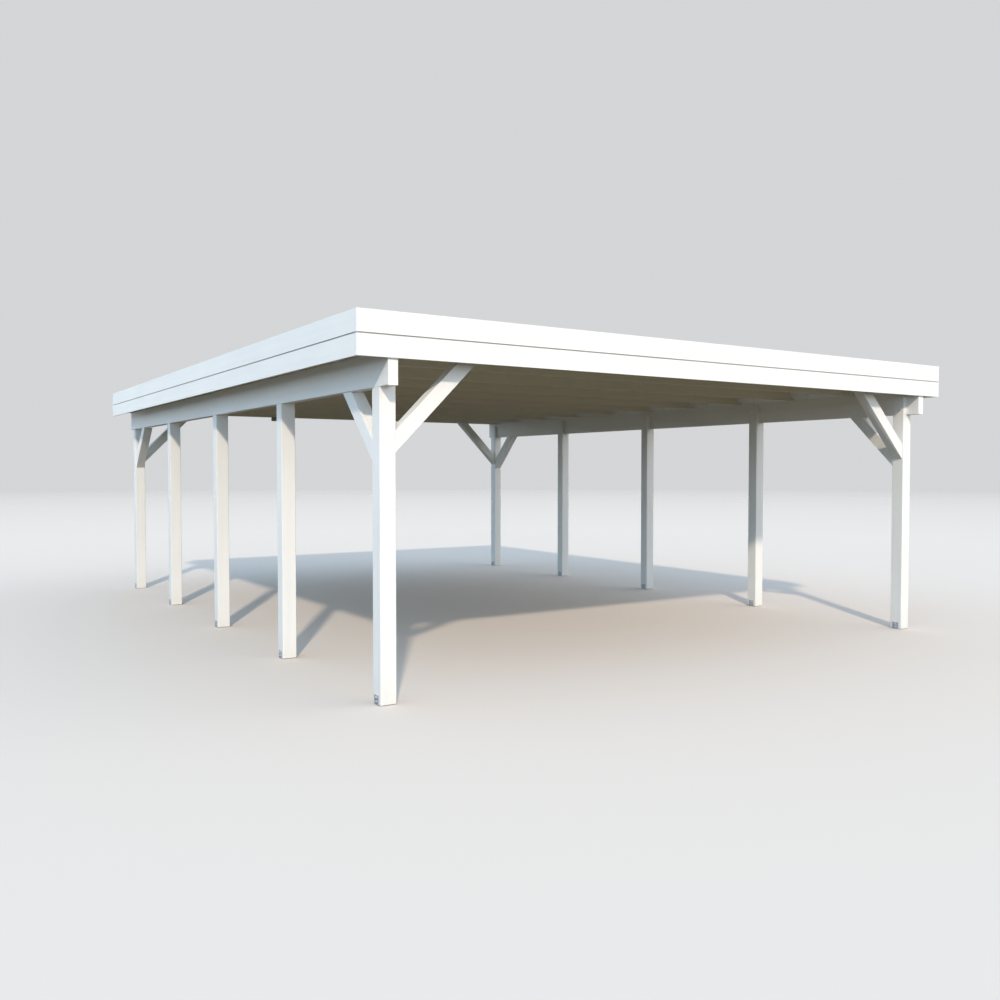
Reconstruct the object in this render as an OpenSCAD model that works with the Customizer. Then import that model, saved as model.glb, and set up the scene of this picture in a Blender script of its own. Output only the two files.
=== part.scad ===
// Double timber carport with a flat roof on two rows of posts.
// The origin is on the ground at the middle of the plan. The front faces -Y.

/* [Plan] */
// Distance between the centre lines of the two rows of posts
row_spacing = 5460; // [3000:10:7000]
// Distance between the centres of neighbouring posts in a row
bay_length = 1810; // [1500:10:2400]
// Distance from the outer faces of the posts to the outer faces of the side fascias
side_overhang = 220; // [120:5:400]
// Length of beam past the outer faces of the end posts
end_overhang = 125; // [110:5:300]

/* [Posts] */
// Side of a square post
post_size = 115; // [100:1:160]
// Chamfer on the long edges of a post
post_chamfer = 4; // [1:0.5:8]
// Height of the seat that carries the beam, above the ground
seat_height = 2050; // [1800:10:2600]
// Height of the tongue that rises from the seat beside the beam
tongue_height = 175; // [80:5:180]

/* [Post shoes] */
// Width of the steel strip that a shoe is bent from
shoe_width = 65; // [40:1:90]
// Height of a shoe above the ground
shoe_height = 65; // [40:1:150]
// Thickness of the steel strip
shoe_thickness = 4; // [3:0.5:8]

/* [Beams] */
// Thickness of a beam
beam_thickness = 70; // [45:1:85]
// Height of a beam
beam_height = 220; // [180:5:300]
// Chamfer on the long edges of a beam
beam_chamfer = 3; // [1:0.5:6]

/* [Knee braces] */
// Depth of a brace, square to its length
brace_depth = 100; // [60:1:120]
// Thickness of a brace
brace_thickness = 95; // [60:1:100]
// Length of post between the rafters and the upper edge of a cross brace
cross_brace_leg = 500; // [300:10:700]
// Length of post between the beam and the upper edge of a side brace
side_brace_leg = 350; // [250:10:600]

/* [Rafters] */
// Thickness of a rafter
rafter_thickness = 45; // [35:1:60]
// Height of the roof slope at the front above the undersides of the rafters
slope_front = 190; // [150:1:210]
// Height of the roof slope at the back above the undersides of the rafters
slope_back = 115; // [95:1:145]

/* [Roof] */
// Thickness of the roof boards
deck_thickness = 18; // [12:1:25]
// Thickness of the roofing felt
felt_thickness = 4; // [2:0.5:8]

/* [Fascia] */
// Height of a fascia board
fascia_height = 145; // [140:1:180]
// Thickness of a fascia board
fascia_thickness = 16; // [12:1:28]
// Drop of the front and side fascias below the undersides of the rafters
fascia_drop = 50; // [20:5:70]
// Height of the open groove along the line where the two boards meet
groove_height = 7; // [3:0.5:12]
// Depth of the groove
groove_depth = 10; // [4:0.5:11]

/* [Rain outlet] */
// Outer diameter of the outlet pipe
outlet_diameter = 75; // [50:1:80]
// Wall of the outlet pipe and thickness of its flange
outlet_wall = 4; // [3:0.5:6]
// Diameter of the flange on the roof
outlet_flange = 170; // [150:5:220]
// Distance from the middle of the roof to the outlet, towards the left
outlet_offset = 905; // [200:5:1200]
// Length of the outlet pipe below the undersides of the rafters
outlet_reach = 55; // [20:5:100]
// Gap between the outlet pipe and its hole in the roof
outlet_clearance = 1; // [0.5:0.5:3]

/* [Hidden] */
$fn = 64;
posts_per_row = 5;
rafter_count = 11;
sides = ["left", "right"];
ends = ["front", "back"];
rims = ["front", "back", "left", "right"];

function post_name(side, i) = str(side, "_post_", i + 1);
function rafter_name(i) = str("rafter_", i + 1);
function brace_name(end, side, kind) = str(end, "_", side, "_", kind, "_brace");

paint = "white";
timber = "linen";
steel = "silver";
covering = "dimgray";

// Plan
row_x = row_spacing / 2;
end_post_y = bay_length * (posts_per_row - 1) / 2;
post_half = post_size / 2;
beam_end_y = end_post_y + post_half + end_overhang;
rim_x = row_x + post_half + side_overhang;
rafter_length = 2 * (rim_x - fascia_thickness);

// Heights
rafter_z = seat_height + beam_height;
fascia_z = rafter_z - fascia_drop;

// Setting out of the rafters: the outer faces of the first and last are flush with the beam ends
rafter_pitch = (2 * beam_end_y - rafter_thickness) / (rafter_count - 1);
roof_fall = atan((slope_front - slope_back) / (2 * beam_end_y));

// Braces are cut at 45 degrees, so both ends are this long
brace_run = brace_depth * sqrt(2);

// The outlet is midway between the back rafter and the brace rafter in front of it
outlet_y = (beam_end_y + end_post_y - rafter_thickness / 2) / 2;

// Room for cuts to run past the faces that they open
cut = 10;

function end_sign(end) = end == "front" ? -1 : 1;
function post_y(i) = i * bay_length - end_post_y;
function rafter_y(i) = i * rafter_pitch - beam_end_y;
function slope_z(y) = rafter_z + slope_front + (slope_back - slope_front) * (y + beam_end_y) / (2 * beam_end_y);

function chamfered_rectangle(w, h, c) = [
    [-w / 2 + c, -h / 2],
    [w / 2 - c, -h / 2],
    [w / 2, -h / 2 + c],
    [w / 2, h / 2 - c],
    [w / 2 - c, h / 2],
    [-w / 2 + c, h / 2],
    [-w / 2, h / 2 - c],
    [-w / 2, -h / 2 + c]
];

// Extrudes a profile drawn in the YZ plane along X
module along_x(length) {
    rotate([90, 0, 90])
        linear_extrude(length, center = true)
            children();
}

// Extrudes a profile drawn in the XZ plane along Y
module along_y(length) {
    rotate([90, 0, 0])
        linear_extrude(length, center = true)
            children();
}

// Moves a shape drawn for the right row, with +X outwards, to the given row
module in_row(side) {
    if (side == "left")
        mirror([1, 0, 0]) translate([row_x, 0, 0]) children();
    else
        translate([row_x, 0, 0]) children();
}

module post(side, i) {
    tongue_top = seat_height + tongue_height;
    color(paint)
        in_row(side)
            translate([0, post_y(i), 0])
                difference() {
                    translate([0, 0, shoe_thickness])
                        linear_extrude(tongue_top - shoe_thickness)
                            polygon(chamfered_rectangle(post_size, post_size, post_chamfer));
                    translate([post_half - beam_thickness, -post_half - cut, seat_height])
                        cube([beam_thickness + cut, post_size + 2 * cut, tongue_height + cut]);
                }
}

// A steel strip bent into a U that the post stands in
module shoe() {
    outer = post_size + 2 * shoe_thickness;
    difference() {
        translate([-outer / 2, -shoe_width / 2, 0])
            cube([outer, shoe_width, shoe_height]);
        translate([-post_half, -shoe_width / 2 - cut, shoe_thickness])
            cube([post_size, shoe_width + 2 * cut, shoe_height]);
    }
}

module post_shoes() {
    color(steel)
        for (side = sides)
            in_row(side)
                for (i = [0 : posts_per_row - 1])
                    translate([0, post_y(i), 0])
                        shoe();
}

module beam(side) {
    color(paint)
        in_row(side)
            translate([post_half - beam_thickness / 2, 0, seat_height + beam_height / 2])
                along_y(2 * beam_end_y)
                    polygon(chamfered_rectangle(beam_thickness, beam_height, beam_chamfer));
}

// Outline of a brace in its own plane, from the face of the post up to what it carries
module brace_outline(leg) {
    polygon([
        [0, -leg - brace_run],
        [0, -leg],
        [leg, 0],
        [leg + brace_run, 0]
    ]);
}

// Runs inwards across the bay, from an end post to the brace rafter
module cross_brace(end, side) {
    color(paint)
        in_row(side)
            translate([-post_half, end_sign(end) * end_post_y, rafter_z])
                mirror([1, 0, 0])
                    along_y(brace_thickness)
                        brace_outline(cross_brace_leg);
}

// Runs along the row, from an end post to the beam
module side_brace(end, side) {
    color(paint)
        in_row(side)
            translate([0, end_sign(end) * (end_post_y - post_half), seat_height])
                mirror([0, end == "back" ? 1 : 0, 0])
                    along_x(brace_thickness)
                        brace_outline(side_brace_leg);
}

// A rafter with its front face at the given place and its top cut to the roof slope
module rafter(y) {
    color(timber)
        along_x(rafter_length)
            polygon([
                [y, rafter_z],
                [y + rafter_thickness, rafter_z],
                [y + rafter_thickness, slope_z(y + rafter_thickness)],
                [y, slope_z(y)]
            ]);
}

// The rafter over a pair of end posts, which the cross braces meet
module brace_rafter(end) {
    rafter(end_sign(end) * end_post_y - rafter_thickness / 2);
}

// A sheet of the roof between the fascias, at a height above the roof slope
module roof_sheet(height, thickness) {
    along_x(rafter_length)
        polygon([
            [-beam_end_y, slope_z(-beam_end_y) + height],
            [beam_end_y, slope_z(beam_end_y) + height],
            [beam_end_y, slope_z(beam_end_y) + height + thickness],
            [-beam_end_y, slope_z(-beam_end_y) + height + thickness]
        ]);
}

// Places a shape on the roof slope at the outlet, square to the slope
module at_outlet() {
    translate([-outlet_offset, outlet_y, slope_z(outlet_y)])
        rotate([-roof_fall, 0, 0])
            children();
}

module outlet_hole() {
    roof_depth = deck_thickness + felt_thickness;
    at_outlet()
        translate([0, 0, -cut])
            cylinder(d = outlet_diameter + 2 * outlet_clearance, h = roof_depth + 2 * cut);
}

module roof_deck() {
    color(timber)
        difference() {
            roof_sheet(0, deck_thickness);
            outlet_hole();
        }
}

module roof_felt() {
    color(covering)
        difference() {
            roof_sheet(deck_thickness, felt_thickness);
            outlet_hole();
        }
}

// A flanged pipe that hangs in the roof by its flange
module rain_outlet() {
    flange_z = (deck_thickness + felt_thickness) * cos(roof_fall);
    drop = slope_z(outlet_y) - rafter_z + outlet_reach;
    pipe_length = drop + flange_z + outlet_wall;
    color(covering)
        at_outlet()
            difference() {
                union() {
                    translate([0, 0, -drop])
                        cylinder(d = outlet_diameter, h = pipe_length);
                    translate([0, 0, flange_z])
                        cylinder(d = outlet_flange, h = outlet_wall);
                }
                translate([0, 0, -drop - cut])
                    cylinder(d = outlet_diameter - 2 * outlet_wall, h = pipe_length + 2 * cut);
            }
}

// Section of the board below the joint, with its inner face on the Z axis and -Y outwards.
// Its outer upper edge is rebated, so that a groove stays open below the upper board.
module lower_board_section(height) {
    polygon([
        [0, 0],
        [-fascia_thickness, 0],
        [-fascia_thickness, height - groove_height],
        [-fascia_thickness + groove_depth, height - groove_height],
        [-fascia_thickness + groove_depth, height],
        [0, height]
    ]);
}

// Section of the board above the joint
module upper_board_section() {
    polygon([
        [0, 0],
        [-fascia_thickness, 0],
        [-fascia_thickness, fascia_height],
        [0, fascia_height]
    ]);
}

// The front and back boards cover the ends of the side boards.
// The lower board at the back is cut level with the rafters.
module fascia_board(rim, level) {
    is_end = rim == "front" || rim == "back";
    turn = rim == "front" ? 0 : rim == "back" ? 180 : rim == "left" ? -90 : 90;
    reach = is_end ? beam_end_y : rim_x - fascia_thickness;
    length = is_end ? 2 * rim_x : 2 * beam_end_y;
    trim = rim == "back" ? fascia_drop : 0;
    joint_z = fascia_z + fascia_height;
    color(paint)
        rotate([0, 0, turn])
            translate([0, -reach, level == "lower" ? fascia_z + trim : joint_z])
                along_x(length)
                    if (level == "lower")
                        lower_board_section(fascia_height - trim);
                    else
                        upper_board_section();
}

for (side = sides) {
    for (i = [0 : posts_per_row - 1])
        post(side, i);
    beam(side);
    for (end = ends) {
        cross_brace(end, side);
        side_brace(end, side);
    }
}
for (i = [0 : rafter_count - 1])
    rafter(rafter_y(i));
for (end = ends)
    brace_rafter(end);
for (rim = rims)
    for (level = ["lower", "upper"])
        fascia_board(rim, level);
post_shoes();
roof_deck();
roof_felt();
rain_outlet();
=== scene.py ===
"""Looks of a white timber carport with a flat roof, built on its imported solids.

Metres, +Z up, front towards -Y.
"""

import math

import bmesh
import bpy
from mathutils import Matrix, Vector


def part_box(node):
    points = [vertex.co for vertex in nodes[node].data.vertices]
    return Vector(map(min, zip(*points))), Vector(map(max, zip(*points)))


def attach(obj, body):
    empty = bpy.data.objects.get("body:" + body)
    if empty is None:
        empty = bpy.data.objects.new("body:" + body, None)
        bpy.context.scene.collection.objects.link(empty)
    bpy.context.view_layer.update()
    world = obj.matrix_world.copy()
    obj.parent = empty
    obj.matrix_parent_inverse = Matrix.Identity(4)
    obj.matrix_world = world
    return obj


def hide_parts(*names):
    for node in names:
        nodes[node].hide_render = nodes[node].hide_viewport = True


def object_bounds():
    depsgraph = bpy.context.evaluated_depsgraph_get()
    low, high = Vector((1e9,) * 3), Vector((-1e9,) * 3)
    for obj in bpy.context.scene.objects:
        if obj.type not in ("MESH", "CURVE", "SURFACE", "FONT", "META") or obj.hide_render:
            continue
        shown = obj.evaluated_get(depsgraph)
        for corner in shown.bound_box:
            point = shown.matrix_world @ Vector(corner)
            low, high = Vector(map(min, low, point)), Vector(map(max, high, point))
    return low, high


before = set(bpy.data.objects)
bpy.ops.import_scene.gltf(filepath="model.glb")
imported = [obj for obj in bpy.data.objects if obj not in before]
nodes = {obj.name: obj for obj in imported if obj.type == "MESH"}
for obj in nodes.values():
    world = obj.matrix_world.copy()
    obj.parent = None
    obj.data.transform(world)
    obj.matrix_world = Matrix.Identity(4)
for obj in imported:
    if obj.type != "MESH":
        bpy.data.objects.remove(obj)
cad_low, cad_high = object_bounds()

BODY = "root"

X_AXIS = Vector((1.0, 0.0, 0.0))
Y_AXIS = Vector((0.0, 1.0, 0.0))
Z_AXIS = Vector((0.0, 0.0, 1.0))

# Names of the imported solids
SIDES = ("left", "right")
ENDS = ("front", "back")
SIDE_SIGN = {"left": -1.0, "right": 1.0}
POSTS = {side: sorted(n for n in nodes if n.startswith(side + "_post_")) for side in SIDES}
RAFTERS = sorted(n for n in nodes if "rafter" in n)

# Camera: its place and aim as solved from the photograph
CAMERA_PLACE = Vector((-5.386, -9.142, 1.512))
CAMERA_YAW = 0.5708
CAMERA_PITCH = 0.0306
SENSOR_MM = 36.0
LENS_MM = 33.894

# Sun
SUN_TRAVEL = Vector((0.688, 1.21, -0.924))
SUN_STRENGTH = 2.53
SUN_COLOUR = (1.0, 0.85, 0.68)
SUN_ANGLE = math.radians(2.5)

# Sky: its colours, and the parts of the unit direction over which they change
SKY_STRENGTH = 2.0
SKY_COLOUR = (0.255, 0.365, 0.49, 1.0)
LEFT_SKY_COLOUR = (0.39, 0.54, 0.69, 1.0)
HORIZON_COLOUR = (0.85, 0.96, 1.05, 1.0)
LEFT_HORIZON_COLOUR = (0.66, 0.78, 0.88, 1.0)
HORIZON_BAND = 0.30
LEFT_RANGE = (-0.1, -0.6)
GLOW_DIRECTION = (0.86, -0.50, 0.10)
GLOW_EDGE = 0.45
GLOW_COLOUR = (1.10, 1.07, 1.04, 1.0)
BACKDROP_COLOUR = (0.66, 0.67, 0.68, 1.0)

# Floor: half its side, the distances over which it fades, its colour, and the light that it throws back
FLOOR_HALF = 150.0
FLOOR_FADE = (14.0, 70.0)
FLOOR_COLOUR = (0.66, 0.60, 0.55, 1.0)
FLOOR_BOUNCE = (0.150, 0.131, 0.098, 1.0)

# Colours, linear
PAINT_LIGHT = (0.86, 0.86, 0.85, 1.0)
PAINT_DARK = (0.805, 0.81, 0.805, 1.0)
PAINT_SOIL = (0.70, 0.67, 0.61, 1.0)
# Painted shade in the groove of the fascia joint
JOINT_PAINTED_SHADE = (0.58, 0.57, 0.55, 1.0)
WOOD_LIGHT = (0.79, 0.745, 0.635, 1.0)
WOOD_DARK = (0.757, 0.712, 0.602, 1.0)
WOOD_KNOT = (0.665, 0.605, 0.485, 1.0)
STEEL_LIGHT = (0.60, 0.62, 0.68, 1.0)
STEEL_DARK = (0.43, 0.45, 0.50, 1.0)
# Pale zinc of the brackets, also a painted highlight for their glints in shade
GLINT_ZINC_LIGHT = (0.92, 0.92, 0.90, 1.0)
GLINT_ZINC_DARK = (0.76, 0.77, 0.76, 1.0)
FELT_LIGHT = (0.070, 0.072, 0.076, 1.0)
FELT_DARK = (0.030, 0.031, 0.033, 1.0)
PLASTIC_LIGHT = (0.36, 0.35, 0.33, 1.0)
PLASTIC_DARK = (0.28, 0.27, 0.26, 1.0)

# Colours by tone, which runs from 0 to 1
PAINT_TONES = ((0.30, PAINT_DARK), (0.62, PAINT_LIGHT))
WOOD_TONES = ((0.22, WOOD_DARK), (0.68, WOOD_LIGHT))
STEEL_TONES = ((0.25, STEEL_DARK), (0.75, STEEL_LIGHT))
GLINT_ZINC_TONES = ((0.25, GLINT_ZINC_DARK), (0.75, GLINT_ZINC_LIGHT))
FELT_TONES = ((0.30, FELT_DARK), (0.72, FELT_LIGHT))
PLASTIC_TONES = ((0.3, PLASTIC_DARK), (0.7, PLASTIC_LIGHT))

# The range that most noise lies in, and the roughness that each material takes over it
NOISE_RANGE = (0.3, 0.7)
PAINT_ROUGHNESS = (0.40, 0.58)
WOOD_ROUGHNESS = (0.62, 0.82)
ZINC_ROUGHNESS = (0.38, 0.62)
FELT_ROUGHNESS = (0.95, 0.80)
PLASTIC_ROUGHNESS = (0.42, 0.55)

# Gloss and metal
PAINT_GLOSS = 0.35
WOOD_GLOSS = 0.25
FELT_GLOSS = 0.3
DULL_METALLIC = 0.55
BRIGHT_METALLIC = 0.15

# Patterns in a metre, along the grain and across it
PAINT_FIBRES = (1.6, 85.0, 85.0)
BRUSH_MARKS = (0.9, 22.0, 22.0)
WOOD_BENDS = (0.55, 9.0, 9.0)
WOOD_FIBRES = (2.2, 160.0, 160.0)
WOOD_KNOTS = (1.7, 7.5, 7.5)

# Marks on paint and wood, and painted shade in the fascia's joint
SOIL_HEIGHT = 0.22
SOIL_SHARE = 0.55
# Shares of the groove's height over which the painted shade in the fascia joint fades out
JOINT_SHADE_EDGE = (0.55, 0.8)
RING_COUNT = 9.0
KNOT_EDGE = (0.03, 0.16)
KNOT_SHARE = 0.75
BOARD_TONE_SHARE = 0.45
# Width over which the rafter ends turn to white paint, which also serves as painted light
PAINT_AND_LIGHT_EDGE = 0.006

# Changes of tone on the felt
DUST_TONE = (-0.06, 0.06)
SHEET_TONE = (-0.05, 0.05)

# Rounded edges
ARRIS = 0.002
FRAME_ARRIS = 0.0015
FINE_ARRIS = 0.001
WELD_DISTANCE = 0.0001
SHARP_ANGLE = math.radians(40)

# Fascia joint and roof boards
GROOVE_HEIGHT = 0.007
BOARD_COVER = 0.0965
BOARD_CHAMFER = 0.003
BOARD_GAP = 0.001

# Angle brackets: lengths, and where the rib and the nails lie as shares of the legs
BRACKET_WIDTH = 0.050
BRACKET_UP = 0.070
BRACKET_OUT = 0.055
BRACKET_THICKNESS = 0.0025
BRACKET_CHAMFER = 0.3 * BRACKET_THICKNESS
RIB_SHARE = 0.55
NAIL_RADIUS = 0.0045
NAIL_HEIGHT = 0.0015
NAIL_ACROSS = 0.62
NAIL_UP = (0.45, 0.82)
NAIL_OUT = 0.72

# Bolts: lengths and tapers, and where they lie as shares of the shoe's height, or of the tongue's height and
# the post's width
BOLT_ACROSS_FLATS = 0.017
BOLT_HEAD_HEIGHT = 0.0065
BOLT_STRAIGHT_SHARE = 0.8
BOLT_TOP_START = 0.97
BOLT_TOP_END = 0.86
WASHER_RADIUS = 0.0105
WASHER_HEIGHT = 0.002
WASHER_TOP_END = 0.96
SHOE_BOLT_SHARES = (0.32, 0.74)
SHOE_BOLT_TURN = 0.3
SHOE_BOLT_TURN_STEP = 0.5
TONGUE_BOLT_SHARES = ((0.28, -0.25), (0.74, 0.25))

# Roof covering: lengths, and the outline of a lap as shares of its half width and height
LAP_PITCH = 0.90
LAP_WIDTH = 0.09
LAP_HEIGHT = 0.003
LAP_LEAST_SHEET = LAP_PITCH / 3
LAP_OUTLINE = ((-1.0, 0.0), (-1.0, 0.4), (-0.8, 1.0), (0.9, 1.0), (1.0, 0.8), (1.0, 0.0))
UPSTAND_THICKNESS = 0.003
UPSTAND_BELOW_RIM = 0.012
PATCH_SIDE = 0.36
PATCH_LAP = 0.022
PATCH_HEIGHT = 0.003
PATCH_SEGMENTS = 32
FLANGE_THICKNESS = 0.004

# The roof slope and the outlet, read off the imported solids
RAFTER_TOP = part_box("rafter_1")[1].z
deck_low, deck_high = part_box("roof_deck")
felt_low, felt_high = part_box("roof_felt")
outlet_low, outlet_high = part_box("rain_outlet")
SLOPE = (deck_low.z - RAFTER_TOP) / (deck_high.y - deck_low.y)
BOARD_THICKNESS = deck_high.z - RAFTER_TOP
ROOF_THICKNESS = felt_high.z - RAFTER_TOP
OUTLET = (outlet_low + outlet_high) / 2
FLANGE_WIDTH = outlet_high.x - outlet_low.x
BOARDS_CUT_BACK = FLANGE_WIDTH / 4


def slope_z(y):
    """Height of the tops of the rafters."""
    return RAFTER_TOP + SLOPE * (y - deck_low.y)


def roof_point(x, y, above=0.0):
    """A point above the roof covering."""
    return Vector((x, y, slope_z(y) + ROOF_THICKNESS + above))


# Shader helpers

def new_shader(name):
    """A material with a plain Principled shader, as (material, node tree, shader)."""
    material = bpy.data.materials.new(name)
    material.use_nodes = True
    tree = material.node_tree
    return material, tree, tree.nodes["Principled BSDF"]


def add_node(tree, kind, links=None, **values):
    """A new node with its inputs set by name, and linked where a socket is given."""
    node = tree.nodes.new(kind)
    for name, value in values.items():
        node.inputs[name.replace("_", " ").title()].default_value = value
    for name, socket in (links or {}).items():
        tree.links.new(socket, node.inputs[name])
    return node


def place_space(tree):
    """The point's own place in the frame, in metres."""
    return tree.nodes.new("ShaderNodeTexCoord").outputs["Object"]


def grain_space(tree, grain):
    """The point's place, turned so that X runs along the grain."""
    turn = tree.nodes.new("ShaderNodeMapping")
    turn.vector_type = "POINT"
    turn.inputs["Rotation"].default_value = grain.rotation_difference(X_AXIS).to_euler("XYZ")
    tree.links.new(place_space(tree), turn.inputs["Vector"])
    return turn.outputs["Vector"]


def scaled(tree, vector, factors):
    """A place multiplied by a factor along each axis."""
    node = tree.nodes.new("ShaderNodeVectorMath")
    node.operation = "MULTIPLY"
    tree.links.new(vector, node.inputs[0])
    node.inputs[1].default_value = factors
    return node.outputs["Vector"]


def part_of(tree, vector, axis):
    """One coordinate of a place."""
    node = tree.nodes.new("ShaderNodeSeparateXYZ")
    tree.links.new(vector, node.inputs["Vector"])
    return node.outputs["XYZ".index(axis)]


def noise(tree, vector, scale=1.0, detail=4.0, roughness=0.55, distortion=0.0):
    """Smooth noise from 0 to 1."""
    node = add_node(
        tree, "ShaderNodeTexNoise", {"Vector": vector},
        scale=scale, detail=detail, roughness=roughness, distortion=distortion,
    )
    return node.outputs[0]


def ramp(tree, factor, stops):
    """Colours by factor: stops are (position, colour)."""
    node = tree.nodes.new("ShaderNodeValToRGB")
    for element, (position, colour) in zip(node.color_ramp.elements, stops):
        element.position = position
        element.color = colour
    tree.links.new(factor, node.inputs["Fac"])
    return node.outputs["Color"]


def span(tree, value, low, high, to_low=0.0, to_high=1.0):
    """A value taken from one range to another, and kept inside it."""
    node = tree.nodes.new("ShaderNodeMapRange")
    node.clamp = True
    tree.links.new(value, node.inputs["Value"])
    for name, number in zip(("From Min", "From Max", "To Min", "To Max"), (low, high, to_low, to_high)):
        node.inputs[name].default_value = number
    return node.outputs["Result"]


def math_node(tree, operation, first, second=0.0):
    """Two values combined; the second may be a number, and some operations have no use for it."""
    node = tree.nodes.new("ShaderNodeMath")
    node.operation = operation
    tree.links.new(first, node.inputs[0])
    if isinstance(second, (int, float)):
        node.inputs[1].default_value = second
    else:
        tree.links.new(second, node.inputs[1])
    return node.outputs["Value"]


def mean(tree, first, second):
    """The mean of two values."""
    return math_node(tree, "MULTIPLY", math_node(tree, "ADD", first, second), 0.5)


def chance(tree, value):
    """A number from 0 to 1 by chance, the same for all values with the same whole part."""
    node = tree.nodes.new("ShaderNodeTexWhiteNoise")
    node.noise_dimensions = "1D"
    tree.links.new(math_node(tree, "FLOOR", value), node.inputs["W"])
    return node.outputs["Value"]


def mixed(tree, factor, first, second):
    """Two colours mixed by a factor; either may be a socket or a colour."""
    node = tree.nodes.new("ShaderNodeMix")
    node.data_type = "RGBA"
    tree.links.new(factor, node.inputs["Factor"])
    for name, colour in (("A", first), ("B", second)):
        socket = next(s for s in node.inputs if s.name == name and s.type == "RGBA")
        if isinstance(colour, tuple):
            socket.default_value = colour
        else:
            tree.links.new(colour, socket)
    return next(s for s in node.outputs if s.type == "RGBA")


def bump(tree, shader, height, strength, distance):
    """Relief on the shader's normal; the distance is in metres."""
    node = add_node(tree, "ShaderNodeBump", {"Height": height}, strength=strength, distance=distance)
    tree.links.new(node.outputs["Normal"], shader.inputs["Normal"])


def shader_choice(tree, factor, first, second):
    """Two shaders mixed by a factor."""
    node = tree.nodes.new("ShaderNodeMixShader")
    tree.links.new(factor, node.inputs["Fac"])
    tree.links.new(first, node.inputs[1])
    tree.links.new(second, node.inputs[2])
    return node.outputs["Shader"]


# Materials

def paint(name, grain, joint=None):
    """Opaque white paint on planed timber, with faint grain and soiled feet.

    Where the height of a level joint is given, its groove is darkened with painted shade.
    """
    material, tree, shader = new_shader(name)
    along = grain_space(tree, grain)
    fibres = noise(tree, scaled(tree, along, PAINT_FIBRES), detail=5.0, roughness=0.6)
    brush = noise(tree, scaled(tree, along, BRUSH_MARKS), detail=3.0)
    clouds = noise(tree, place_space(tree), scale=1.1, detail=3.0)
    colour = ramp(tree, mean(tree, brush, clouds), PAINT_TONES)
    height = part_of(tree, place_space(tree), "Z")
    low = span(tree, height, 0.0, SOIL_HEIGHT, SOIL_SHARE, 0.0)
    soil = math_node(tree, "MULTIPLY", low, noise(tree, place_space(tree), scale=14.0))
    colour = mixed(tree, soil, colour, PAINT_SOIL)
    # Painted shade darkens the groove of the joint
    if joint is not None:
        away = math_node(tree, "ABSOLUTE", math_node(tree, "SUBTRACT", height, joint))
        edge = [share * GROOVE_HEIGHT for share in JOINT_SHADE_EDGE]
        colour = mixed(tree, span(tree, away, *edge, 1.0, 0.0), colour, JOINT_PAINTED_SHADE)
    tree.links.new(colour, shader.inputs["Base Color"])
    tree.links.new(span(tree, fibres, *NOISE_RANGE, *PAINT_ROUGHNESS), shader.inputs["Roughness"])
    shader.inputs["Specular IOR Level"].default_value = PAINT_GLOSS
    bump(tree, shader, fibres, strength=0.25, distance=0.0007)
    return material


def timber(name, grain, board_axis=None, paint_and_light_from=None):
    """Softwood under thin off-white primer, through which grain and knots show.

    Boards that lie side by side along an axis each have their own tone. Past a given distance from the
    middle the wood is painted white, which also serves as painted light for the overhang.
    """
    material, tree, shader = new_shader(name)
    along = grain_space(tree, grain)
    rings = noise(tree, scaled(tree, along, WOOD_BENDS), detail=2.0, distortion=0.6)
    lines = math_node(tree, "FRACT", math_node(tree, "MULTIPLY", rings, RING_COUNT))
    fibres = noise(tree, scaled(tree, along, WOOD_FIBRES), detail=5.0, roughness=0.65)
    grainy = mean(tree, lines, fibres)
    colour = ramp(tree, grainy, WOOD_TONES)
    knots = add_node(tree, "ShaderNodeTexVoronoi", {"Vector": scaled(tree, along, WOOD_KNOTS)})
    near_knot = span(tree, knots.outputs["Distance"], *KNOT_EDGE, KNOT_SHARE, 0.0)
    colour = mixed(tree, near_knot, colour, WOOD_KNOT)
    if board_axis:
        place = part_of(tree, place_space(tree), board_axis)
        board = chance(tree, math_node(tree, "DIVIDE", place, BOARD_COVER))
        colour = mixed(tree, span(tree, board, 0.0, 1.0, 0.0, BOARD_TONE_SHARE), colour, WOOD_DARK)
    # White paint on the ends, which also serves as painted light where light reaches the overhang
    if paint_and_light_from:
        from_middle = math_node(tree, "ABSOLUTE", part_of(tree, place_space(tree), "X"))
        painted = span(tree, from_middle, paint_and_light_from, paint_and_light_from + PAINT_AND_LIGHT_EDGE)
        colour = mixed(tree, painted, colour, PAINT_LIGHT)
    tree.links.new(colour, shader.inputs["Base Color"])
    tree.links.new(span(tree, fibres, *NOISE_RANGE, *WOOD_ROUGHNESS), shader.inputs["Roughness"])
    shader.inputs["Specular IOR Level"].default_value = WOOD_GLOSS
    bump(tree, shader, grainy, strength=0.35, distance=0.0009)
    return material


def zinc(name, tones, metallic):
    """Zinc with its crystal pattern and a few dull patches."""
    material, tree, shader = new_shader(name)
    crystals = add_node(tree, "ShaderNodeTexVoronoi", {"Vector": place_space(tree)}, scale=110.0)
    patches = noise(tree, place_space(tree), scale=26.0, detail=5.0)
    grey = add_node(tree, "ShaderNodeRGBToBW", {"Color": crystals.outputs["Color"]})
    tone = mean(tree, grey.outputs["Val"], patches)
    tree.links.new(ramp(tree, tone, tones), shader.inputs["Base Color"])
    tree.links.new(span(tree, patches, *NOISE_RANGE, *ZINC_ROUGHNESS), shader.inputs["Roughness"])
    shader.inputs["Metallic"].default_value = metallic
    bump(tree, shader, patches, strength=0.15, distance=0.0003)
    return material


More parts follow.
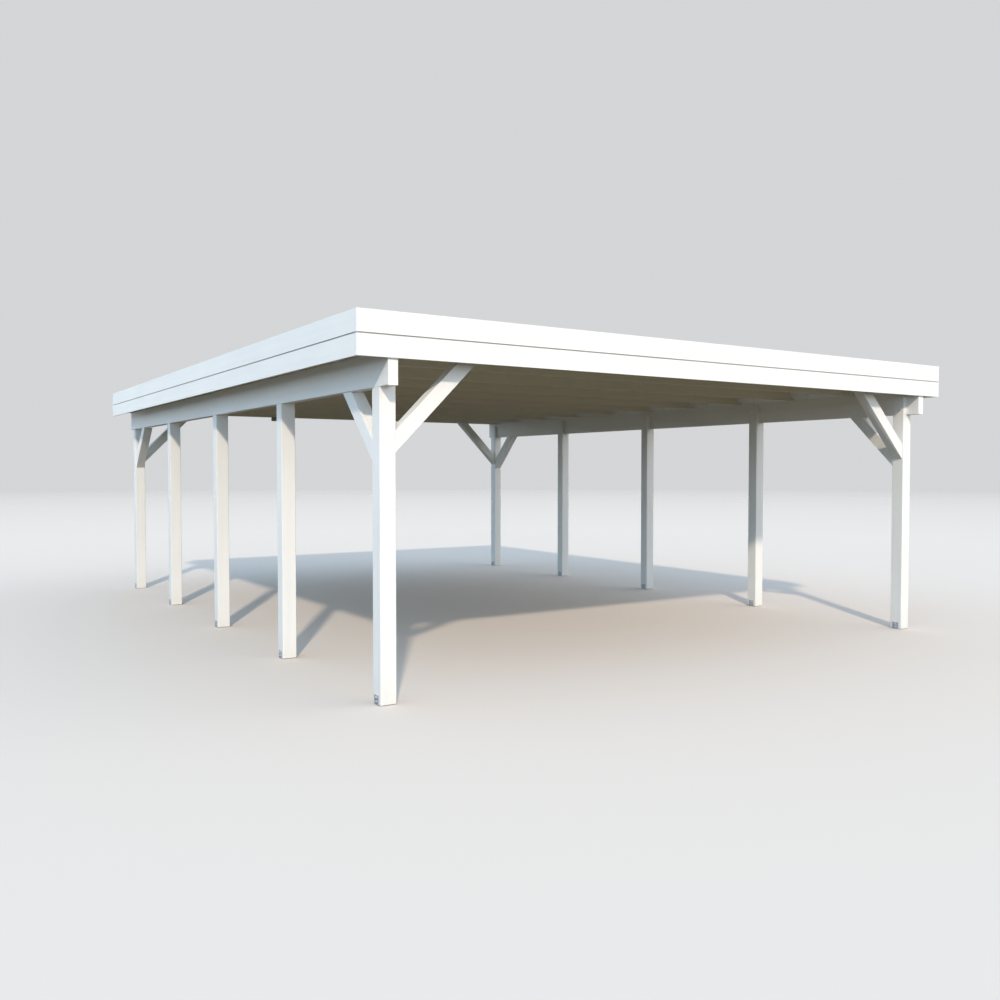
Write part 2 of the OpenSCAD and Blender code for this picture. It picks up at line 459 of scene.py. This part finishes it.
def roofing(name):
    """Matt black roofing sheet with fine grit, a little dust, and a tone of its own for each sheet."""
    material, tree, shader = new_shader(name)
    grit = noise(tree, place_space(tree), scale=420.0, detail=2.0, roughness=0.7)
    dust = noise(tree, place_space(tree), scale=2.6, detail=9.0, roughness=0.7)
    from_back = math_node(tree, "SUBTRACT", part_of(tree, place_space(tree), "Y"), felt_high.y)
    sheet = chance(tree, math_node(tree, "DIVIDE", from_back, LAP_PITCH))
    tone = math_node(tree, "ADD", grit, span(tree, dust, *NOISE_RANGE, *DUST_TONE))
    tone = math_node(tree, "ADD", tone, span(tree, sheet, 0.0, 1.0, *SHEET_TONE))
    tree.links.new(ramp(tree, tone, FELT_TONES), shader.inputs["Base Color"])
    tree.links.new(span(tree, dust, *NOISE_RANGE, *FELT_ROUGHNESS), shader.inputs["Roughness"])
    shader.inputs["Specular IOR Level"].default_value = FELT_GLOSS
    bump(tree, shader, grit, strength=0.5, distance=0.0008)
    return material


def plastic(name):
    """Grey moulded plastic with a fine even grain."""
    material, tree, shader = new_shader(name)
    grain = noise(tree, place_space(tree), scale=900.0, detail=2.0)
    clouds = noise(tree, place_space(tree), scale=9.0, detail=3.0)
    tree.links.new(ramp(tree, clouds, PLASTIC_TONES), shader.inputs["Base Color"])
    tree.links.new(span(tree, grain, *NOISE_RANGE, *PLASTIC_ROUGHNESS), shader.inputs["Roughness"])
    bump(tree, shader, grain, strength=0.12, distance=0.0002)
    return material


def floor_finish(name):
    """Plain pale floor that fades into the backdrop.

    It throws back less light than it shows, which keeps the underside of the roof in shade.
    """
    material, tree, shader = new_shader(name)
    shader.inputs["Base Color"].default_value = FLOOR_COLOUR
    shader.inputs["Roughness"].default_value = 1.0
    shader.inputs["Specular IOR Level"].default_value = 0.0
    thrown = add_node(tree, "ShaderNodeBsdfDiffuse", color=FLOOR_BOUNCE)
    clear = tree.nodes.new("ShaderNodeBsdfTransparent")
    distance = tree.nodes.new("ShaderNodeVectorMath")
    distance.operation = "LENGTH"
    tree.links.new(place_space(tree), distance.inputs[0])
    fade = span(tree, distance.outputs["Value"], *FLOOR_FADE)
    shown = shader_choice(tree, fade, shader.outputs["BSDF"], clear.outputs["BSDF"])
    path = tree.nodes.new("ShaderNodeLightPath")
    choice = shader_choice(tree, path.outputs["Is Camera Ray"], thrown.outputs["BSDF"], shown)
    tree.links.new(choice, tree.nodes["Material Output"].inputs["Surface"])
    return material


# Mesh helpers

def add_box(mesh, first, second, chamfer=0.0):
    """A box between two opposite corners, with its edges cut back if a chamfer is given."""
    low = Vector(map(min, first, second))
    high = Vector(map(max, first, second))
    made = bmesh.ops.create_cube(mesh, size=1.0)["verts"]
    bmesh.ops.scale(mesh, vec=high - low, verts=made)
    bmesh.ops.translate(mesh, vec=(low + high) / 2, verts=made)
    if chamfer:
        edges = list({edge for vert in made for edge in vert.link_edges})
        bmesh.ops.bevel(mesh, geom=edges, offset=chamfer, segments=2, profile=0.7, affect="EDGES")


def join_rings(mesh, first, second):
    """A band of faces between two rings with the same number of points."""
    count = len(first)
    for i in range(count):
        j = (i + 1) % count
        mesh.faces.new((first[i], first[j], second[j], second[i]))


def add_prism(mesh, outline, start, end):
    """A bar with a convex outline, given as a ring of points at the start that is repeated at the end."""
    first = [mesh.verts.new(start + point) for point in outline]
    last = [mesh.verts.new(end + point) for point in outline]
    mesh.faces.new(first[::-1])
    mesh.faces.new(last)
    join_rings(mesh, first, last)


def add_disc(mesh, place, axis, radius, height, sides=20, top=1.0, turn=0.0):
    """A short cylinder or cone on a face: place is on the face, and axis points out of it."""
    spin = Z_AXIS.rotation_difference(axis).to_matrix().to_4x4() @ Matrix.Rotation(turn, 4, "Z")
    bmesh.ops.create_cone(
        mesh, cap_ends=True, segments=sides, radius1=radius, radius2=radius * top, depth=height,
        matrix=Matrix.Translation(place + axis * height / 2) @ spin,
    )


def add_bolt(mesh, place, axis, turn=0.0):
    """A hexagon head on its washer, with the corners of its top cut back."""
    add_disc(mesh, place, axis, WASHER_RADIUS, WASHER_HEIGHT, sides=28, top=WASHER_TOP_END)
    seat = place + axis * WASHER_HEIGHT
    corner = BOLT_ACROSS_FLATS / math.sqrt(3)
    straight = BOLT_HEAD_HEIGHT * BOLT_STRAIGHT_SHARE
    add_disc(mesh, seat, axis, corner, straight, sides=6, turn=turn)
    add_disc(
        mesh, seat + axis * straight, axis, corner * BOLT_TOP_START, BOLT_HEAD_HEIGHT - straight,
        sides=6, top=BOLT_TOP_END, turn=turn,
    )


def finish_piece(name, mesh, material):
    """Turns a mesh into a piece that rides on the carport."""
    bmesh.ops.recalc_face_normals(mesh, faces=mesh.faces)
    data = bpy.data.meshes.new(name)
    mesh.to_mesh(data)
    mesh.free()
    piece = bpy.data.objects.new(name, data)
    bpy.context.scene.collection.objects.link(piece)
    data.materials.append(material)
    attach(piece, BODY)
    return piece


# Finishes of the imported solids

def soften_edges(node, width):
    """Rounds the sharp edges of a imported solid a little, without changing its mesh."""
    weld = node.modifiers.new("weld", "WELD")
    weld.merge_threshold = WELD_DISTANCE
    bevel = node.modifiers.new("arris", "BEVEL")
    bevel.width = width
    bevel.segments = 2
    bevel.limit_method = "ANGLE"
    bevel.angle_limit = SHARP_ANGLE
    bevel.loop_slide = False


def dress(name, material, arris=ARRIS):
    """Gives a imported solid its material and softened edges."""
    node = nodes[name]
    node.data.materials.clear()
    node.data.materials.append(material)
    if arris:
        soften_edges(node, arris)


def dress_frame():
    """Paint on the posts, beams and braces, with the grain along each piece."""
    upright = paint("paint_upright", Z_AXIS)
    lengthwise = paint("paint_lengthwise", Y_AXIS)
    for side in SIDES:
        for post in POSTS[side]:
            dress(post, upright, FRAME_ARRIS)
        dress(side + "_beam", lengthwise, FRAME_ARRIS)
        for end in ENDS:
            inwards = -SIDE_SIGN[side]
            backwards = 1.0 if end == "front" else -1.0
            cross = paint(f"paint_{end}_{side}_cross", Vector((inwards, 0.0, 1.0)).normalized())
            lean = paint(f"paint_{end}_{side}_side", Vector((0.0, backwards, 1.0)).normalized())
            dress(f"{end}_{side}_cross_brace", cross)
            dress(f"{end}_{side}_side_brace", lean)


def dress_fascia():
    """Paint on the fascia boards, with painted shade in the joint between the two rows."""
    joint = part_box("front_fascia_lower")[1].z - GROOVE_HEIGHT / 2
    across = paint("paint_fascia_across", X_AXIS, joint)
    lengthwise = paint("paint_fascia_lengthwise", Y_AXIS, joint)
    for level in ("lower", "upper"):
        for end in ENDS:
            dress(f"{end}_fascia_{level}", across, FINE_ARRIS)
        for side in SIDES:
            dress(f"{side}_fascia_{level}", lengthwise, FINE_ARRIS)


def dress_rafters():
    """Primer on the rafters, and white paint on their ends over and outside the beams, also painted light
    for the overhang.
    """
    primed = timber("primed_rafters", X_AXIS, paint_and_light_from=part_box("right_beam")[0].x)
    for rafter in RAFTERS:
        dress(rafter, primed)


# Pieces

def roof_boards(material):
    """The boards of the roof, laid from front to back, with a V joint underneath.

    They are cut back round the outlet.
    """
    mesh = bmesh.new()
    count = round((deck_high.x - deck_low.x) / BOARD_COVER)
    cover = (deck_high.x - deck_low.x) / count
    half = (cover - BOARD_GAP) / 2
    cut = BOARD_CHAMFER
    outline = [
        Vector((-half, 0.0, cut)),
        Vector((-half + cut, 0.0, 0.0)),
        Vector((half - cut, 0.0, 0.0)),
        Vector((half, 0.0, cut)),
        Vector((half, 0.0, BOARD_THICKNESS)),
        Vector((-half, 0.0, BOARD_THICKNESS)),
    ]
    for i in range(count):
        x = deck_low.x + cover * (i + 0.5)
        stretches = [(deck_low.y, deck_high.y)]
        if abs(x - OUTLET.x) < half + BOARDS_CUT_BACK:
            stretches = [
                (deck_low.y, OUTLET.y - BOARDS_CUT_BACK),
                (OUTLET.y + BOARDS_CUT_BACK, deck_high.y),
            ]
        for start, end in stretches:
            add_prism(mesh, outline, Vector((x, start, slope_z(start))), Vector((x, end, slope_z(end))))
    piece = finish_piece("roof_boards", mesh, material)
    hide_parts("roof_deck")


def add_bracket(mesh, corner, out):
    """An angle bracket in the corner between a beam's top and a rafter's face.

    The direction out points away from that face.
    """
    thick = BRACKET_THICKNESS
    side = X_AXIS * BRACKET_WIDTH / 2
    upright = corner + out * thick
    add_box(mesh, corner - side, upright + side + Z_AXIS * BRACKET_UP, BRACKET_CHAMFER)
    add_box(mesh, upright - side, corner + side + out * BRACKET_OUT + Z_AXIS * thick, BRACKET_CHAMFER)
    rib = [
        Z_AXIS * thick,
        out * (BRACKET_OUT * RIB_SHARE) + Z_AXIS * thick,
        Z_AXIS * (BRACKET_UP * RIB_SHARE),
    ]
    rib_half = X_AXIS * thick
    add_prism(mesh, rib, upright - rib_half, upright + rib_half)
    for across in (-side * NAIL_ACROSS, side * NAIL_ACROSS):
        for share in NAIL_UP:
            add_disc(mesh, upright + across + Z_AXIS * BRACKET_UP * share, out, NAIL_RADIUS, NAIL_HEIGHT)
        on_beam = corner + across + out * BRACKET_OUT * NAIL_OUT + Z_AXIS * thick
        add_disc(mesh, on_beam, Z_AXIS, NAIL_RADIUS, NAIL_HEIGHT)


def rafter_brackets(material):
    """Angle brackets that hold each rafter to the beams, on both faces where there is room."""
    mesh = bmesh.new()
    for side in SIDES:
        low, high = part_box(side + "_beam")
        middle = (low.x + high.x) / 2
        for rafter in RAFTERS:
            rafter_low, rafter_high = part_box(rafter)
            for face, out in ((rafter_low.y, -Y_AXIS), (rafter_high.y, Y_AXIS)):
                end = face + out.y * BRACKET_OUT
                if low.y < end < high.y:
                    add_bracket(mesh, Vector((middle, face, high.z)), out)
    finish_piece("rafter_brackets", mesh, material)


def shoe_bolts(material):
    """Two hexagon bolts through each cheek of each shoe."""
    mesh = bmesh.new()
    shoe_low, shoe_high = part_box("post_shoes")
    cheek = shoe_high.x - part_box(POSTS["right"][0])[1].x
    tall = shoe_high.z - shoe_low.z
    for side in SIDES:
        for post in POSTS[side]:
            low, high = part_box(post)
            middle = (low.y + high.y) / 2
            for face, axis in ((low.x - cheek, -X_AXIS), (high.x + cheek, X_AXIS)):
                for i, share in enumerate(SHOE_BOLT_SHARES):
                    place = Vector((face, middle, shoe_low.z + tall * share))
                    add_bolt(mesh, place, axis, SHOE_BOLT_TURN + SHOE_BOLT_TURN_STEP * i)
    finish_piece("shoe_bolts", mesh, material)


def tongue_bolts(mesh, side, post):
    """Two bolts through a post's tongue, with their heads on the inside."""
    low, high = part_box(post)
    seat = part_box(side + "_beam")[0].z
    middle = (low.y + high.y) / 2
    face = high.x if side == "left" else low.x
    axis = X_AXIS * -SIDE_SIGN[side]
    for share, shift in TONGUE_BOLT_SHARES:
        place = Vector((face, middle + shift * (high.y - low.y), seat + share * (high.z - seat)))
        add_bolt(mesh, place, axis, turn=share)


def beam_bolts(material):
    """The painted bolts that hold the beams to the tongues of the posts."""
    mesh = bmesh.new()
    for side in SIDES:
        for post in POSTS[side]:
            tongue_bolts(mesh, side, post)
    finish_piece("beam_bolts", mesh, material)


def felt_laps(material):
    """The laps between the sheets of roofing, which run across the fall."""
    mesh = bmesh.new()
    half = LAP_WIDTH / 2
    outline = [
        Vector((0.0, half * across, half * across * SLOPE + LAP_HEIGHT * up)) for across, up in LAP_OUTLINE
    ]
    y = felt_high.y - LAP_PITCH
    while y > felt_low.y + LAP_LEAST_SHEET:
        add_prism(mesh, outline, roof_point(felt_low.x, y), roof_point(felt_high.x, y))
        y -= LAP_PITCH
    finish_piece("felt_laps", mesh, material)


def felt_upstand(material):
    """The roofing turned up against the inside of the fascia."""
    mesh = bmesh.new()
    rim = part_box("front_fascia_upper")[1].z - UPSTAND_BELOW_RIM
    thick = UPSTAND_THICKNESS
    start, end = felt_low.y, felt_high.y
    for x, inwards in ((felt_low.x, X_AXIS), (felt_high.x, -X_AXIS)):
        outline = [roof_point(x, start), roof_point(x, end), Vector((x, end, rim)), Vector((x, start, rim))]
        add_prism(mesh, outline, Vector(), inwards * thick)
    for y, inwards in ((start, Y_AXIS), (end, -Y_AXIS)):
        low = roof_point(felt_low.x + thick, y)
        high = Vector((felt_high.x - thick, y, rim))
        add_box(mesh, low, high + inwards * thick)
    finish_piece("felt_upstand", mesh, material)


def outlet_patch(material):
    """The square of roofing that is bonded over the rim of the outlet's flange."""
    mesh = bmesh.new()
    hole = FLANGE_WIDTH / 2 - PATCH_LAP
    back = felt_high.y - OUTLET.y - UPSTAND_THICKNESS
    inner, outer = [], []
    for i in range(PATCH_SEGMENTS):
        angle = 2 * math.pi * (i + 0.5) / PATCH_SEGMENTS
        along = Vector((math.cos(angle), math.sin(angle)))
        square = along * (PATCH_SIDE / 2 / max(abs(along.x), abs(along.y)))
        square.y = min(square.y, back)
        inner.append(OUTLET.xy + along * hole)
        outer.append(OUTLET.xy + square)

    def ring(points, above):
        """The points at a height above the covering."""
        return [mesh.verts.new(roof_point(point.x, point.y, above)) for point in points]

    rings = [
        ring(outer, 0.0),
        ring(outer, PATCH_HEIGHT),
        ring(inner, FLANGE_THICKNESS + PATCH_HEIGHT),
        ring(inner, FLANGE_THICKNESS),
    ]
    for first, second in zip(rings, rings[1:] + rings[:1]):
        join_rings(mesh, first, second)
    finish_piece("outlet_patch", mesh, material)


# Stage

def make_floor():
    """A wide plain floor under the carport."""
    mesh = bmesh.new()
    bmesh.ops.create_grid(mesh, x_segments=1, y_segments=1, size=FLOOR_HALF)
    data = bpy.data.meshes.new("floor")
    mesh.to_mesh(data)
    mesh.free()
    floor = bpy.data.objects.new("floor", data)
    floor.location.z = cad_low.z
    bpy.context.scene.collection.objects.link(floor)
    data.materials.append(floor_finish("floor"))


def make_sun():
    """A soft sun from the front left."""
    lamp = bpy.data.lights.new("sun", "SUN")
    lamp.energy = SUN_STRENGTH
    lamp.color = SUN_COLOUR
    lamp.angle = SUN_ANGLE
    sun = bpy.data.objects.new("sun", lamp)
    sun.rotation_mode = "QUATERNION"
    sun.rotation_quaternion = SUN_TRAVEL.to_track_quat("-Z", "Y")
    bpy.context.scene.collection.objects.link(sun)


def sky_colour(tree):
    """Sky that is paler low down and on the left, with a glow at the front right."""
    direction = tree.nodes.new("ShaderNodeTexCoord").outputs["Generated"]
    upness = span(tree, part_of(tree, direction, "Z"), 0.0, HORIZON_BAND)
    leftness = span(tree, part_of(tree, direction, "X"), *LEFT_RANGE)
    upper_sky = mixed(tree, leftness, SKY_COLOUR, LEFT_SKY_COLOUR)
    horizon = mixed(tree, leftness, HORIZON_COLOUR, LEFT_HORIZON_COLOUR)
    shades = mixed(tree, upness, horizon, upper_sky)
    towards_glow = tree.nodes.new("ShaderNodeVectorMath")
    towards_glow.operation = "DOT_PRODUCT"
    tree.links.new(direction, towards_glow.inputs[0])
    towards_glow.inputs[1].default_value = GLOW_DIRECTION
    glow = span(tree, towards_glow.outputs["Value"], GLOW_EDGE, 1.0)
    return mixed(tree, glow, shades, GLOW_COLOUR)


def make_sky():
    """The light of the sky, and a plain backdrop that only the camera sees."""
    world = bpy.data.worlds.new("sky")
    world.use_nodes = True
    tree = world.node_tree
    sky = tree.nodes["Background"]
    sky.inputs["Strength"].default_value = SKY_STRENGTH
    tree.links.new(sky_colour(tree), sky.inputs["Color"])
    backdrop = add_node(tree, "ShaderNodeBackground", color=BACKDROP_COLOUR)
    path = tree.nodes.new("ShaderNodeLightPath")
    choice = shader_choice(
        tree, path.outputs["Is Camera Ray"], sky.outputs["Background"], backdrop.outputs["Background"],
    )
    tree.links.new(choice, tree.nodes["World Output"].inputs["Surface"])
    bpy.context.scene.world = world


def make_camera():
    """The photograph's camera, with its plain contrast."""
    bpy.context.scene.view_settings.view_transform = "Standard"
    data = bpy.data.cameras.new("camera")
    data.sensor_width = SENSOR_MM
    data.lens = LENS_MM
    camera = bpy.data.objects.new("camera", data)
    camera.location = CAMERA_PLACE
    aim = Vector((
        math.sin(CAMERA_YAW) * math.cos(CAMERA_PITCH),
        math.cos(CAMERA_YAW) * math.cos(CAMERA_PITCH),
        -math.sin(CAMERA_PITCH),
    ))
    camera.rotation_mode = "QUATERNION"
    camera.rotation_quaternion = aim.to_track_quat("-Z", "Y")
    bpy.context.scene.collection.objects.link(camera)
    bpy.context.scene.camera = camera


steel = zinc("dull_zinc", STEEL_TONES, DULL_METALLIC)
# Pale zinc for the brackets, which also serves as a painted highlight
glinting_zinc = zinc("zinc_with_painted_glint", GLINT_ZINC_TONES, BRIGHT_METALLIC)
felt = roofing("roofing_felt")

dress_frame()
dress_fascia()
dress_rafters()
dress("post_shoes", steel, FINE_ARRIS)
dress("roof_felt", felt, arris=0.0)
dress("rain_outlet", plastic("outlet_plastic"), arris=0.0)

roof_boards(timber("primed_boards", Y_AXIS, board_axis="X"))
rafter_brackets(glinting_zinc)
shoe_bolts(steel)
beam_bolts(paint("paint_bolts", X_AXIS))
felt_laps(felt)
felt_upstand(felt)
outlet_patch(felt)

make_floor()
make_sun()
make_sky()
make_camera()
